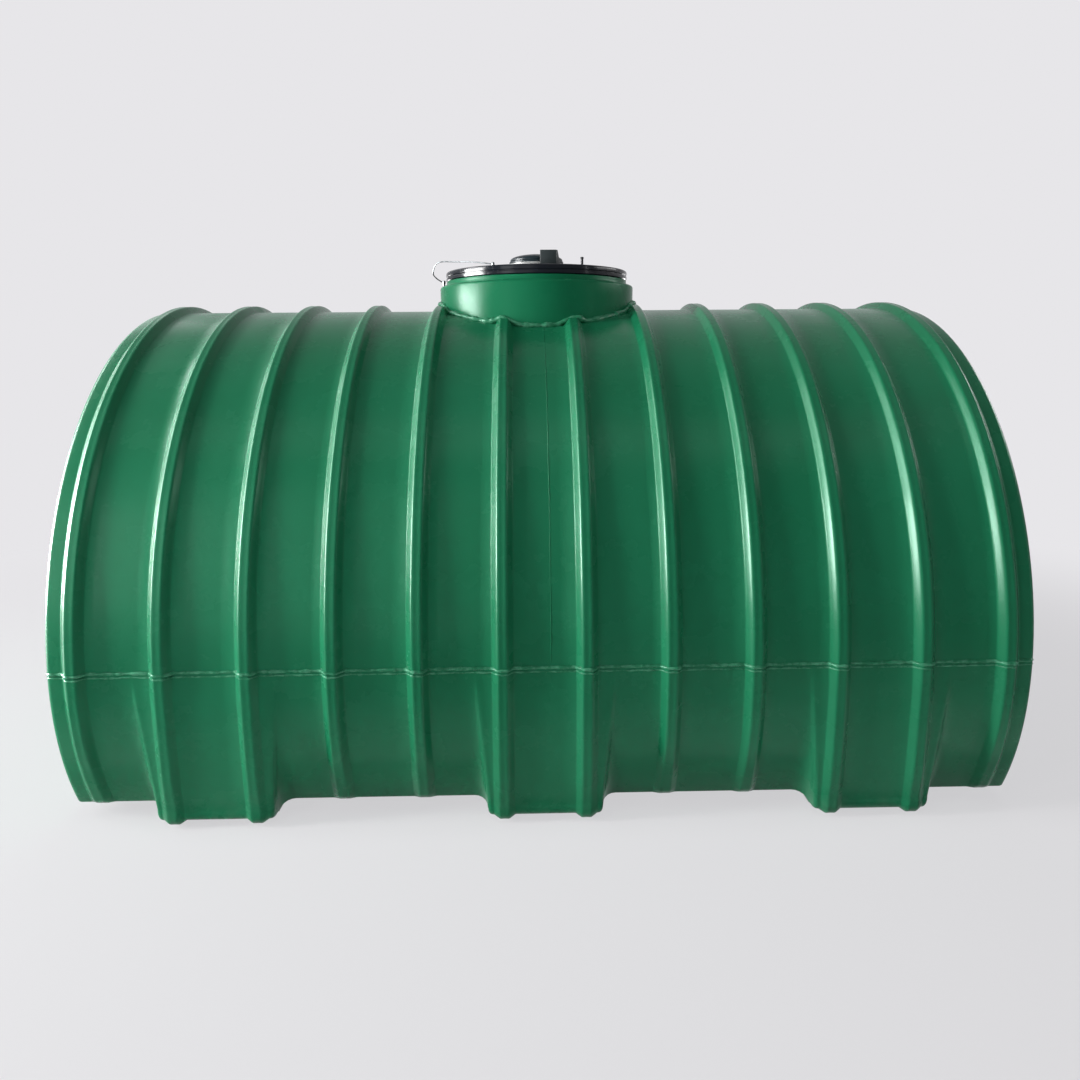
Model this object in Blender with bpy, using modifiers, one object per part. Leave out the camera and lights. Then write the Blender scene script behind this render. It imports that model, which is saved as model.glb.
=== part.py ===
# Horizontal water tank: a corrugated moulded barrel with a flat belly, on three saddle feet,
# with a filling neck and a vented lid on top.
# Metres, +Z up. The barrel lies along X, the front looks to -Y and the tank stands on z = 0.
import math

import bmesh
import bpy
from mathutils import Vector

# Barrel
shellRadius = 0.6825
wallThickness = 0.008
barrelHalfLength = 0.962
bellyAngle = math.radians(34.34)
seamAngle = math.radians(5.887)
topPanelHalfAngle = math.radians(35.0)

# Corrugation ribs
ribCount = 12
ribEndMargin = 0.027
ribRise = 0.0175
ribBaseHalf = 0.022
ribShoulderHalf = 0.0165
ribCrestHalf = 0.012
ribShoulderDrop = 0.003
ribNeckOverlap = 0.98
ribOverrunAngle = math.radians(3.0)
neckRibIndices = (4, 5, 6, 7)

# End walls
endSkirtLength = 0.007
endCornerRadius = 0.028
endCornerSteps = 3
endCrownHeight = 0.024
endCrownFlat = 0.3
endCrownSteps = 2

# Parting seam flash
flashRise = 0.003
flashHeight = 0.009

# Saddle feet
footTopBelowSeam = 0.0105
footTopProud = 0.005
footFaceBow = 0.004
footFaceSteps = 3
footSoleSpread = 0.0585
footSoleClearance = 0.0175
footSideMarginTop = 0.0585
footSideMarginSole = 0.034
footEdgeRadius = 0.010
footEdgeSteps = 2
footToeRadius = 0.022
footToeSteps = 3
footRibRise = 0.0125
footRibIndices = ((1, 2), (5, 6), (9, 10))
footNames = ("saddle_foot_left", "saddle_foot_centre", "saddle_foot_right")

# Neck
collarRadius = 0.263
collarWall = 0.010
collarRise = 0.0645
collarEdgeRadius = 0.004
beadRadius = 0.006
lipStep = 0.018
lipWall = 0.010
lipHeight = 0.014

# Lid
lidOverhang = 0.002
lidRimHeight = 0.0245
lidShoulderRadius = 0.008
lidShoulderSteps = 3
lidCrownRise = 0.0145
lidCrownRadius = 0.100
lidWall = 0.010
plugClearance = 0.002
plugWall = 0.008
plugDepth = 0.024

# Vent on the lid
ventBaseRadius = 0.074
ventBaseHeight = 0.0165
ventCapRadius = 0.0716
ventCapEdge = 0.003
ventCapHeight = 0.0195
ventDomeSteps = 4

# Handle tab on the lid
tabCentre = (0.029, -0.112)
tabHalfWidth = 0.021
tabThickness = 0.004
tabHeight = 0.037
tabWingReach = 0.012
tabWingDepth = 0.020
tabSlantReach = 0.0072
tabSlantDepth = 0.012

# Pin on the lid
pinPlace = (0.119, -0.100)
pinRadius = 0.0025
pinHeadRadius = 0.0045
pinHeadHeight = 0.005
pinHeight = 0.025

# Tether wire between the neck and the lid; its points are measured from the wire's neck end
tetherRadius = 0.0018
tetherEyeRadius = 0.0045
tetherNeckEyeHeight = 0.016
tetherLidEyeHeight = 0.006
tetherLidPlace = (-0.116, -0.100)
tetherPoints = (
    (-0.016, -0.004, 0.010),
    (-0.025, -0.012, 0.025),
    (-0.010, -0.026, 0.051),
    (0.042, -0.050, 0.050),
    (0.091, -0.078, 0.046),
)
tetherSmoothing = 4

# Fits and facets
seatGap = 0.0003
mitreGap = 0.0002
studLift = 0.0006
cutTolerance = 0.0001
cutterMargin = 0.050
lowerSteps = 4
sideSteps = 8
topSteps = 10
neckSteps = 40
smallSteps = 20
studSteps = 12

# Worked out from the sizes above
bellyDrop = shellRadius * math.sin(bellyAngle)
bellyHalfWidth = shellRadius * math.cos(bellyAngle)
crestRadius = shellRadius + ribRise
axisHeight = bellyDrop + footSoleClearance + footRibRise
lowerArc = bellyAngle - seamAngle
sideArc = math.pi / 2 - topPanelHalfAngle + seamAngle
topArc = 2 * topPanelHalfAngle
frontShoulderAngle = math.pi / 2 - topPanelHalfAngle
backShoulderAngle = math.pi / 2 + topPanelHalfAngle
ribFirstX = ribEndMargin - barrelHalfLength
ribPitch = -2 * ribFirstX / (ribCount - 1)
footTopDrop = shellRadius * math.sin(seamAngle) + footTopBelowSeam
footSoleHalfSpan = bellyHalfWidth + footSoleSpread
footHalfWidthTop = ribPitch / 2 + footSideMarginTop
footHalfWidthSole = ribPitch / 2 + footSideMarginSole
collarTop = shellRadius + collarRise
lipRadius = collarRadius - lipStep
lidRadius = lipRadius + lidOverhang
neckReach = collarRadius + 2 * (beadRadius + seatGap)
collarBore = collarRadius - collarWall
lipBase = collarTop + seatGap
lipTop = lipBase + lipHeight
lidBase = lipTop + seatGap
lidRimTop = lidBase + lidRimHeight
lidCrownTop = lidRimTop + lidCrownRise

partCollection = bpy.data.collections.new("horizontal_water_tank")
cutterCollection = bpy.data.collections.new("cutters")


def clearScene():
    for item in list(bpy.data.objects):
        bpy.data.objects.remove(item, do_unlink=True)
    bpy.context.scene.collection.children.link(partCollection)
    bpy.context.scene.collection.children.link(cutterCollection)


def makeMaterial(name, colour, roughness, metallic=0.0):
    material = bpy.data.materials.new(name)
    material.use_nodes = True
    shader = material.node_tree.nodes["Principled BSDF"]
    shader.inputs["Base Color"].default_value = (*colour, 1.0)
    shader.inputs["Roughness"].default_value = roughness
    shader.inputs["Metallic"].default_value = metallic
    return material


def addObject(name, bm, colour, roughness=0.4, metallic=0.0, smoothAngle=35.0):
    mesh = bpy.data.meshes.new(name)
    bmesh.ops.recalc_face_normals(bm, faces=bm.faces)
    bm.to_mesh(mesh)
    bm.free()
    mesh.shade_smooth()
    mesh.set_sharp_from_angle(angle=math.radians(smoothAngle))
    mesh.materials.append(makeMaterial(name + "_finish", colour, roughness, metallic))
    item = bpy.data.objects.new(name, mesh)
    partCollection.objects.link(item)
    return item


def addCutter(name, bm):
    mesh = bpy.data.meshes.new(name)
    bmesh.ops.recalc_face_normals(bm, faces=bm.faces)
    bm.to_mesh(mesh)
    bm.free()
    item = bpy.data.objects.new(name, mesh)
    item.hide_render = True
    item.display_type = "WIRE"
    cutterCollection.objects.link(item)
    return item


def addBoolean(item, tool, operation):
    modifier = item.modifiers.new(operation.lower(), "BOOLEAN")
    modifier.operation = operation
    modifier.solver = "EXACT"
    modifier.object = tool


greenPlastic = (0.030, 0.135, 0.075)
blackPlastic = (0.012, 0.016, 0.018)
greyMetal = (0.180, 0.190, 0.200)


def barrelPoint(x, radius, angle):
    """A point at a radius from the barrel's axis; the angle runs from the front over the top."""
    return Vector((x, -math.cos(angle) * radius, axisHeight + math.sin(angle) * radius))


def sweepProfile(profile, startAngle, arcs):
    """A closed profile of (x, radius) points, turned about the barrel's axis through the arcs."""
    bm = bmesh.new()
    corners = [bm.verts.new(barrelPoint(x, radius, startAngle)) for x, radius in profile]
    geometry = [bm.faces.new(corners)]
    centre = (0.0, 0.0, axisHeight)
    for arc, steps in arcs:
        swept = bmesh.ops.spin(bm, geom=geometry, cent=centre, axis=(1, 0, 0), angle=-arc, steps=steps)
        geometry = swept["geom_last"]
    return bm


def barrelAngles():
    """The facet angles of the barrel's section, from the front belly corner to the back one."""
    angles = [-bellyAngle]
    for arc, steps in barrelArcs():
        first = angles[-1]
        angles.extend(first + arc * step / steps for step in range(1, steps + 1))
    return angles


def barrelArcs():
    return (
        (lowerArc, lowerSteps),
        (sideArc, sideSteps),
        (topArc, topSteps),
        (sideArc, sideSteps),
        (lowerArc, lowerSteps),
    )


def sectionOutline(offset):
    """The barrel's outer section as (y, z) points, grown by an offset."""
    radius = shellRadius + offset
    belly = bellyDrop + offset
    cornerAngle = math.asin(belly / radius)
    angles = barrelAngles()
    angles[0] = -cornerAngle
    angles[-1] = math.pi + cornerAngle
    points = [barrelPoint(0.0, radius, angle) for angle in angles]
    return [(point.y, point.z) for point in points]


def ringPrism(outline, startX, endX):
    bm = bmesh.new()
    face = bm.faces.new([bm.verts.new((startX, y, z)) for y, z in outline])
    extruded = bmesh.ops.extrude_face_region(bm, geom=[face])
    moved = [item for item in extruded["geom"] if isinstance(item, bmesh.types.BMVert)]
    bmesh.ops.translate(bm, verts=moved, vec=(endX - startX, 0.0, 0.0))
    return bm


def loftRings(rings):
    """A closed solid through rings of equal point counts, with a cap at each end."""
    bm = bmesh.new()
    loops = [[bm.verts.new(point) for point in ring] for ring in rings]
    for lower, upper in zip(loops, loops[1:]):
        for index in range(len(lower)):
            following = (index + 1) % len(lower)
            bm.faces.new((lower[index], lower[following], upper[following], upper[index]))
    bm.faces.new(reversed(loops[0]))
    bm.faces.new(loops[-1])
    return bm


def turnedObject(name, profile, place, colour, roughness, metallic=0.0, closed=False, steps=neckSteps):
    """A profile of (radius, height) points, top to bottom down its outer side, turned about Z."""
    bm = bmesh.new()
    corners = [bm.verts.new((radius, 0.0, height)) for radius, height in profile]
    for first, second in zip(corners, corners[1:]):
        bm.edges.new((first, second))
    if closed:
        bm.edges.new((corners[-1], corners[0]))
    item = addObject(name, bm, colour, roughness, metallic)
    item.location = (place[0], place[1], axisHeight)
    screw = item.modifiers.new("turn", "SCREW")
    screw.axis = "Z"
    screw.angle = 2 * math.pi
    screw.steps = steps
    screw.render_steps = steps
    screw.use_merge_vertices = True
    screw.merge_threshold = 0.0001
    screw.use_smooth_shade = True
    return item


def shellPanel(name, startAngle, arc, steps):
    """One segment of the barrel wall, between two lines along the barrel."""
    trim = seatGap / 2 / shellRadius
    profile = (
        (-barrelHalfLength, shellRadius - wallThickness),
        (barrelHalfLength, shellRadius - wallThickness),
        (barrelHalfLength, shellRadius),
        (-barrelHalfLength, shellRadius),
    )
    bm = sweepProfile(profile, startAngle + trim, ((arc - 2 * trim, steps),))
    return addObject(name, bm, greenPlastic)


def buildShell():
    shellPanel("shell_lower_front", -bellyAngle, lowerArc, lowerSteps)
    shellPanel("shell_front", -seamAngle, sideArc, sideSteps)
    top = shellPanel("shell_top", frontShoulderAngle, topArc, topSteps)
    shellPanel("shell_back", backShoulderAngle, sideArc, sideSteps)
    shellPanel("shell_lower_back", math.pi + seamAngle, lowerArc, lowerSteps)
    hole = bmesh.new()
    bmesh.ops.create_cone(
        hole, cap_ends=True, segments=neckSteps, radius1=collarBore, radius2=collarBore, depth=shellRadius
    )
    bmesh.ops.translate(hole, verts=hole.verts, vec=(0.0, 0.0, axisHeight + shellRadius))
    addBoolean(top, addCutter("manhole_cutter", hole), "DIFFERENCE")
    buildBelly()


def buildBelly():
    """The flat belly, mitred against the lower segments on lines through the barrel's axis."""
    lower = bellyDrop
    upper = bellyDrop - wallThickness
    lowerHalf = lower / math.tan(bellyAngle) - mitreGap
    upperHalf = upper / math.tan(bellyAngle) - mitreGap
    outline = (
        (-lowerHalf, axisHeight - lower),
        (lowerHalf, axisHeight - lower),
        (upperHalf, axisHeight - upper),
        (-upperHalf, axisHeight - upper),
    )
    bm = ringPrism(outline, -barrelHalfLength, barrelHalfLength)
    addObject("shell_belly", bm, greenPlastic)


def endWallRings(inset):
    """Rings of a dished end, from its rim to its middle, on a surface inset from the outer one."""
    rimX = barrelHalfLength + seatGap
    cornerX = rimX + endSkirtLength
    cornerRadius = endCornerRadius - inset
    rings = [(rimX, sectionOutline(-inset))]
    for step in range(endCornerSteps + 1):
        angle = math.pi / 2 * step / endCornerSteps
        outline = sectionOutline(-inset - cornerRadius * (1 - math.cos(angle)))
        rings.append((cornerX + cornerRadius * math.sin(angle), outline))
    cornerTopX, cornerTop = rings[-1]
    for step in range(1, endCrownSteps + 1):
        scale = 1 - (1 - endCrownFlat) * step / endCrownSteps
        rise = endCrownHeight * (1 - scale ** 2) / (1 - endCrownFlat ** 2)
        outline = [(y * scale, axisHeight + (z - axisHeight) * scale) for y, z in cornerTop]
        rings.append((cornerTopX + rise, outline))
    return rings


def buildEndWall(name, side):
    """A dished end: the barrel's section, a short skirt, a rounded corner and a low crown."""
    rings = endWallRings(wallThickness)[::-1] + endWallRings(0.0)
    bm = loftRings([[Vector((x * side, y, z)) for y, z in outline] for x, outline in rings])
    addObject(name, bm, greenPlastic)


def ribProfile(x, clearance=0.0):
    """The rib's outer line from left to right, grown by a clearance, as (x, radius) points."""
    return [
        (x - ribBaseHalf - clearance, shellRadius + clearance),
        (x - ribShoulderHalf - clearance, crestRadius - ribShoulderDrop + clearance),
        (x - ribCrestHalf - clearance, crestRadius + clearance),
        (x + ribCrestHalf + clearance, crestRadius + clearance),
        (x + ribShoulderHalf + clearance, crestRadius - ribShoulderDrop + clearance),
        (x + ribBaseHalf + clearance, shellRadius + clearance),
    ]


def trimBehind(bm, place, direction):
    """Cuts off what lies behind a plane that looks in a direction, and closes the cut."""
    geometry = bm.verts[:] + bm.edges[:] + bm.faces[:]
    cut = bmesh.ops.bisect_plane(
        bm,
        geom=geometry,
        dist=cutTolerance,
        plane_co=place,
        plane_no=direction,
        clear_inner=True,
    )
    edges = [item for item in cut["geom_cut"] if isinstance(item, bmesh.types.BMEdge)]
    bmesh.ops.holes_fill(bm, edges=edges, sides=0)


def buildRib(number, x, onFoot, atNeck, neckCutter):
    """One hoop over the barrel, down to the belly or to the foot; at the neck it is two halves."""
    profile = ribProfile(x)
    profile[0] = (profile[0][0], shellRadius + seatGap)
    profile[-1] = (profile[-1][0], shellRadius + seatGap)
    level = axisHeight - (footTopDrop if onFoot else bellyDrop)
    if onFoot:
        level += seatGap
    name = f"rib_{number:02d}"
    startAngle = -bellyAngle - ribOverrunAngle
    if not atNeck:
        arcs = ((ribOverrunAngle, 1), *barrelArcs(), (ribOverrunAngle, 1))
        bm = sweepProfile(profile, startAngle, arcs)
        trimBehind(bm, (0.0, 0.0, level), (0.0, 0.0, 1.0))
        addObject(name, bm, greenPlastic)
        return
    neckEdge = seatGap / 2
    if abs(x) < neckReach:
        neckEdge += math.sqrt(neckReach ** 2 - x ** 2) * ribNeckOverlap
    halfArcs = (
        (ribOverrunAngle, 1),
        (lowerArc, lowerSteps),
        (sideArc, sideSteps),
        (topArc / 2, topSteps // 2),
    )
    for suffix, side in (("front", 1), ("back", -1)):
        bm = sweepProfile(profile, startAngle, halfArcs)
        trimBehind(bm, (0.0, 0.0, level), (0.0, 0.0, 1.0))
        trimBehind(bm, (0.0, -neckEdge, 0.0), (0.0, -1.0, 0.0))
        if side < 0:
            bmesh.ops.scale(bm, verts=bm.verts, vec=(1.0, -1.0, 1.0))
        rib = addObject(f"{name}_{suffix}", bm, greenPlastic)
        addBoolean(rib, neckCutter, "DIFFERENCE")


def buildRibs():
    cutter = bmesh.new()
    bmesh.ops.create_cone(
        cutter, cap_ends=True, segments=neckSteps, radius1=neckReach, radius2=neckReach, depth=shellRadius
    )
    bmesh.ops.translate(cutter, verts=cutter.verts, vec=(0.0, 0.0, axisHeight + shellRadius))
    neckCutter = addCutter("neck_cutter", cutter)
    standing = {index for pair in footRibIndices for index in pair}
    for index in range(ribCount):
        x = ribFirstX + ribPitch * index
        buildRib(index + 1, x, index in standing, index in neckRibIndices, neckCutter)


def buildFlash():
    """The flash left at the mould's parting line, which rides over each rib."""
    inner = [(-barrelHalfLength, shellRadius + seatGap)]
    outer = [(-barrelHalfLength, shellRadius + seatGap + flashRise)]
    for index in range(ribCount):
        x = ribFirstX + ribPitch * index
        inner.extend(ribProfile(x, seatGap))
        outer.extend(ribProfile(x, seatGap + flashRise))
    inner.append((barrelHalfLength, shellRadius + seatGap))
    outer.append((barrelHalfLength, shellRadius + seatGap + flashRise))
    profile = inner + outer[::-1]
    arc = flashHeight / shellRadius
    for name, middle in (("seam_flash_front", -seamAngle), ("seam_flash_back", math.pi + seamAngle)):
        bm = sweepProfile(profile, middle - arc / 2, ((arc, 1),))
        addObject(name, bm, greenPlastic, roughness=0.55)


def footHalfWidth(z):
    """The foot's half width at a height: it narrows from its top to its sole."""
    top = axisHeight - footTopDrop
    share = (z - footRibRise) / (top - footRibRise)
    return footHalfWidthSole + (footHalfWidthTop - footHalfWidthSole) * share


def footOutline(offset):
    """The foot's outline from the front top round the sole to the back top, as (y, z) points."""
    topHalf = math.sqrt(shellRadius ** 2 - footTopDrop ** 2) + footTopProud + offset
    topHeight = axisHeight - footTopDrop
    soleHalf = footSoleHalfSpan + offset
    soleHeight = footRibRise - offset
    slope = math.atan2(topHalf - soleHalf, topHeight - soleHeight)
    radius = footToeRadius + offset
    setback = radius * math.tan((math.pi / 2 - slope) / 2)
    centreY = soleHalf - setback
    centreZ = soleHeight + radius
    front = []
    for step in range(footFaceSteps):
        share = step / footFaceSteps
        bow = 4 * footFaceBow * share * (1 - share)
        half = topHalf + (soleHalf - topHalf) * share + bow
        front.append((-half, topHeight + (soleHeight - topHeight) * share))
    for step in range(footToeSteps + 1):
        angle = -slope - (math.pi / 2 - slope) * step / footToeSteps
        front.append((-centreY - radius * math.cos(angle), centreZ + radius * math.sin(angle)))
    back = [(-y, z) for y, z in reversed(front)]
    return front + back


def buildFoot(name, centreX, ribXs):
    """A saddle that follows the barrel, with draft on its sides and two ribs that form runners."""
    rings = []
    for side in (-1, 1):
        order = range(footEdgeSteps + 1) if side < 0 else range(footEdgeSteps, -1, -1)
        for step in order:
            angle = math.pi / 2 * step / footEdgeSteps
            inset = footEdgeRadius * (1 - math.sin(angle))
            setback = footEdgeRadius * (1 - math.cos(angle))
            outline = footOutline(-inset)
            ring = [Vector((centreX + side * (footHalfWidth(z) - setback), y, z)) for y, z in outline]
            rings.append(ring)
    foot = addObject(name, loftRings(rings), greenPlastic)
    for ribX in ribXs:
        steps = (
            (-ribBaseHalf, -ribShoulderDrop),
            (-ribShoulderHalf, footRibRise - ribShoulderDrop),
            (-ribCrestHalf, footRibRise),
            (ribCrestHalf, footRibRise),
            (ribShoulderHalf, footRibRise - ribShoulderDrop),
            (ribBaseHalf, -ribShoulderDrop),
        )
        ribRings = [[Vector((ribX + dx, y, z)) for y, z in footOutline(rise)] for dx, rise in steps]
        addBoolean(foot, addCutter(f"{name}_runner", loftRings(ribRings)), "UNION")
    reach = footHalfWidthTop + cutterMargin
    saddle = ringPrism(sectionOutline(seatGap), centreX - reach, centreX + reach)
    addBoolean(foot, addCutter(f"{name}_saddle", saddle), "DIFFERENCE")


def buildFeet():
    for name, pair in zip(footNames, footRibIndices):
        ribXs = [ribFirstX + ribPitch * index for index in pair]
        buildFoot(name, sum(ribXs) / len(ribXs), ribXs)


def buildNeck():
    """The filling neck: a collar that follows the barrel, its bead and the lip under the lid."""
    lipBore = lipRadius - lipWall
    collarFoot = math.sqrt(shellRadius ** 2 - collarRadius ** 2) - wallThickness
    collarProfile = (
        (lipBore, collarTop),
        (collarRadius - collarEdgeRadius, collarTop),
        (collarRadius, collarTop - collarEdgeRadius),
        (collarRadius, collarFoot),
        (collarBore, collarFoot),
        (collarBore, collarTop - collarWall),
        (lipBore, collarTop - collarWall),
    )
    collar = turnedObject("neck_collar", collarProfile, (0.0, 0.0), greenPlastic, 0.4, closed=True)
    reach = collarRadius + cutterMargin
    barrel = ringPrism(sectionOutline(seatGap), -reach, reach)
    addBoolean(collar, addCutter("collar_saddle", barrel), "DIFFERENCE")

    lipProfile = (
        (lipBore, lipTop),
        (lipRadius, lipTop),
        (lipRadius, lipBase),
        (lipBore, lipBase),
    )
    turnedObject("neck_lip", lipProfile, (0.0, 0.0), greenPlastic, 0.35, closed=True)
    buildBead()


def buildBead():
    """The bead at the collar's foot, which follows the saddle line round the neck."""
    curve = bpy.data.curves.new("neck_bead", "CURVE")
    curve.dimensions = "3D"
    curve.bevel_depth = beadRadius
    curve.bevel_resolution = 1
    spline = curve.splines.new("POLY")
    count = neckSteps
    spline.points.add(count - 1)
    ringRadius = collarRadius + beadRadius + seatGap
    layRadius = shellRadius + beadRadius + seatGap
    for index, point in enumerate(spline.points):
        turn = 2 * math.pi * index / count
        y = ringRadius * math.sin(turn)
        height = math.sqrt(layRadius ** 2 - y ** 2)
        point.co = (ringRadius * math.cos(turn), y, axisHeight + height, 1.0)
    spline.use_cyclic_u = True
    curve.materials.append(makeMaterial("neck_bead_finish", greenPlastic, 0.55))
    item = bpy.data.objects.new("neck_bead", curve)
    partCollection.objects.link(item)


def crownHeight(radius):
    """The height of the lid's upper face at a distance from its centre."""
    rimStart = lidRadius - lidShoulderRadius
    if radius <= lidCrownRadius:
        return lidCrownTop
    share = (radius - lidCrownRadius) / (rimStart - lidCrownRadius)
    return lidCrownTop - lidCrownRise * share


def buildLid():
    """The lid: a rounded rim, a low crown and a plug that reaches down inside the lip."""
    plugOuter = lipRadius - lipWall - plugClearance
    plugInner = plugOuter - plugWall
    shoulderInner = lidRadius - lidShoulderRadius
    profile = [(0.0, lidCrownTop), (lidCrownRadius, lidCrownTop)]
    for step in range(lidShoulderSteps + 1):
        angle = math.pi / 2 * (1 - step / lidShoulderSteps)
        radius = shoulderInner + lidShoulderRadius * math.cos(angle)
        height = lidRimTop - lidShoulderRadius * (1 - math.sin(angle))
        profile.append((radius, height))
    profile.extend(
        (
            (lidRadius, lidBase),
            (plugOuter, lidBase),
            (plugOuter, lidBase - plugDepth),
            (plugInner, lidBase - plugDepth),
            (plugInner, crownHeight(plugInner) - lidWall),
            (lidCrownRadius, lidCrownTop - lidWall),
            (0.0, lidCrownTop - lidWall),
        )
    )
    turnedObject("lid", profile, (0.0, 0.0), blackPlastic, 0.25)


def buildVent():
    """The mushroom vent in the middle of the lid: a low base and a domed cap."""
    base = lidCrownTop + seatGap
    baseTop = base + ventBaseHeight
    baseProfile = ((0.0, baseTop), (ventBaseRadius, baseTop), (ventBaseRadius, base), (0.0, base))
    turnedObject("vent_base", baseProfile, (0.0, 0.0), greyMetal, 0.4, steps=smallSteps)
    capBase = baseTop + seatGap
    domeRise = ventCapHeight - ventCapEdge
    capProfile = []
    for step in range(ventDomeSteps + 1):
        share = step / ventDomeSteps
        height = capBase + ventCapEdge + domeRise * math.sqrt(1 - share ** 2)
        capProfile.append((ventCapRadius * share, height))
    capProfile.append((ventCapRadius, capBase))
    capProfile.append((0.0, capBase))
    turnedObject("vent_cap", capProfile, (0.0, 0.0), blackPlastic, 0.25, steps=smallSteps)


def buildTab():
    """The handle tab: a standing plate with one wing bent back, its end cut to a slant."""
    front = tabCentre[1]
    left = tabCentre[0] - tabHalfWidth
    right = tabCentre[0] + tabHalfWidth
    plan = (
        (left, front),
        (right, front),
        (right + tabWingReach, front + tabWingDepth),
        (right + tabWingReach - tabThickness, front + tabWingDepth + tabThickness / 2),
        (right - tabThickness / 2, front + tabThickness),
        (left, front + tabThickness),
    )
    nearest = min(math.hypot(x, y) for x, y in plan)
    base = axisHeight + crownHeight(nearest) + seatGap
    bm = bmesh.new()
    face = bm.faces.new([bm.verts.new((x, y, base)) for x, y in plan])
    extruded = bmesh.ops.extrude_face_region(bm, geom=[face])
    upper = [item for item in extruded["geom"] if isinstance(item, bmesh.types.BMVert)]
    bmesh.ops.translate(bm, verts=upper, vec=(0.0, 0.0, tabHeight))
    for vert in upper:
        if vert.co.x > right + tabThickness / 2:
            vert.co.x -= tabSlantReach
            vert.co.y -= tabSlantDepth
    addObject("handle_tab", bm, greyMetal, 0.4, smoothAngle=20.0)


def buildPin():
    base = crownHeight(math.hypot(*pinPlace)) + seatGap + studLift
    top = base + pinHeight
    profile = (
        (0.0, top),
        (pinHeadRadius, top),
        (pinHeadRadius, top - pinHeadHeight),
        (pinRadius, top - pinHeadHeight),
        (pinRadius, base),
        (0.0, base),
    )
    turnedObject("lid_pin", profile, pinPlace, greyMetal, 0.35, metallic=1.0, steps=studSteps)


def tetherRoute():
    """The wire's route: out from the neck, up beside the lid and in over its crown."""
    standOff = tetherEyeRadius + tetherRadius / 2
    start = Vector((-(lipRadius + collarRadius) / 2 - standOff, 0.0, lipBase + tetherNeckEyeHeight))
    lidX, lidY = tetherLidPlace
    lidZ = crownHeight(math.hypot(lidX, lidY)) + tetherLidEyeHeight
    end = Vector((lidX - standOff, lidY, lidZ))
    return (start, *(start + Vector(point) for point in tetherPoints), end)


def buildTether():
    route = tetherRoute()
    curve = bpy.data.curves.new("tether_wire", "CURVE")
    curve.dimensions = "3D"
    curve.bevel_depth = tetherRadius
    curve.bevel_resolution = 1
    curve.use_fill_caps = True
    spline = curve.splines.new("POLY")
    points = smoothRoute(route, tetherSmoothing)
    spline.points.add(len(points) - 1)
    for point, place in zip(spline.points, points):
        point.co = (place.x, place.y, place.z + axisHeight, 1.0)
    curve.materials.append(makeMaterial("tether_wire_finish", greyMetal, 0.35, 1.0))
    item = bpy.data.objects.new("tether_wire", curve)
    partCollection.objects.link(item)
    neckX = -(lipRadius + collarRadius) / 2
    eye("tether_eye_neck", (neckX, 0.0), lipBase, tetherNeckEyeHeight + tetherEyeRadius)
    lidBaseHeight = crownHeight(math.hypot(*tetherLidPlace)) + seatGap + studLift
    eye("tether_eye_lid", tetherLidPlace, lidBaseHeight, tetherLidEyeHeight + tetherEyeRadius)


def eye(name, place, base, height):
    """A small stud with a round head that the wire is fixed to."""
    radius = tetherEyeRadius - seatGap
    profile = (
        (0.0, base + height),
        (radius, base + height),
        (radius, base),
        (0.0, base),
    )
    turnedObject(name, profile, place, greyMetal, 0.35, metallic=1.0, steps=studSteps)


def smoothRoute(route, steps):
    """Points on a smooth curve through the route's own points."""
    padded = [route[0], *route, route[-1]]
    points = []
    for index in range(len(route) - 1):
        before, start, end, after = padded[index:index + 4]
        for step in range(steps):
            t = step / steps
            even = 2 * start + (end - before) * t
            curve = (2 * before - 5 * start + 4 * end - after) * t ** 2
            cube = (3 * start - before - 3 * end + after) * t ** 3
            points.append((even + curve + cube) / 2)
    points.append(route[-1])
    return points


clearScene()
buildShell()
buildEndWall("end_wall_left", -1)
buildEndWall("end_wall_right", 1)
buildRibs()
buildFlash()
buildFeet()
buildNeck()
buildLid()
buildVent()
buildTab()
buildPin()
buildTether()
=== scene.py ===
import math

import bmesh
import bpy
import numpy as np
from mathutils import Euler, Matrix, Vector
from mathutils.bvhtree import BVHTree


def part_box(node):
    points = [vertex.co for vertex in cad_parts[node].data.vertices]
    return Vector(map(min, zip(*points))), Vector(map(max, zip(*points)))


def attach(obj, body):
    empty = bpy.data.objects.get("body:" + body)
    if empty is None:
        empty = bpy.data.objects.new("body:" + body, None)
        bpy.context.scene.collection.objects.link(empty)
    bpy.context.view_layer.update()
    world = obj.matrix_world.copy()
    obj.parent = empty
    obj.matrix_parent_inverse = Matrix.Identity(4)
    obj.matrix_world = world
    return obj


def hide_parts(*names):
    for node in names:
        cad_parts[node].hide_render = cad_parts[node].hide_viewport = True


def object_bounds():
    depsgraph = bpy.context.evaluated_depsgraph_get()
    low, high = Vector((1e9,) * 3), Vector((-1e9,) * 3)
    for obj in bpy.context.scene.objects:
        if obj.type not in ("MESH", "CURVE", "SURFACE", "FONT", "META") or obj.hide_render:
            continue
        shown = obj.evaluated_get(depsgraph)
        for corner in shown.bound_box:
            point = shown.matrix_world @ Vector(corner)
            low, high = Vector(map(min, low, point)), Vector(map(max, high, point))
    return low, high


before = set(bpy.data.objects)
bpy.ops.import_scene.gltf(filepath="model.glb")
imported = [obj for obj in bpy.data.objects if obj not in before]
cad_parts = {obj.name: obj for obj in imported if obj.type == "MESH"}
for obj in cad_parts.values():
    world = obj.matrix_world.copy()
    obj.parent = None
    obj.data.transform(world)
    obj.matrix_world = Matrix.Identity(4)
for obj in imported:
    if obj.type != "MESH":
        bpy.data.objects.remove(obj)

# A horizontal water tank: one green moulding with corrugation ribs and saddle feet, a filling
# neck welded on, and a black vented lid. Metres, +Z up, the front looks to -Y.
cadLow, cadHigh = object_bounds()
scene = bpy.context.scene


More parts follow.
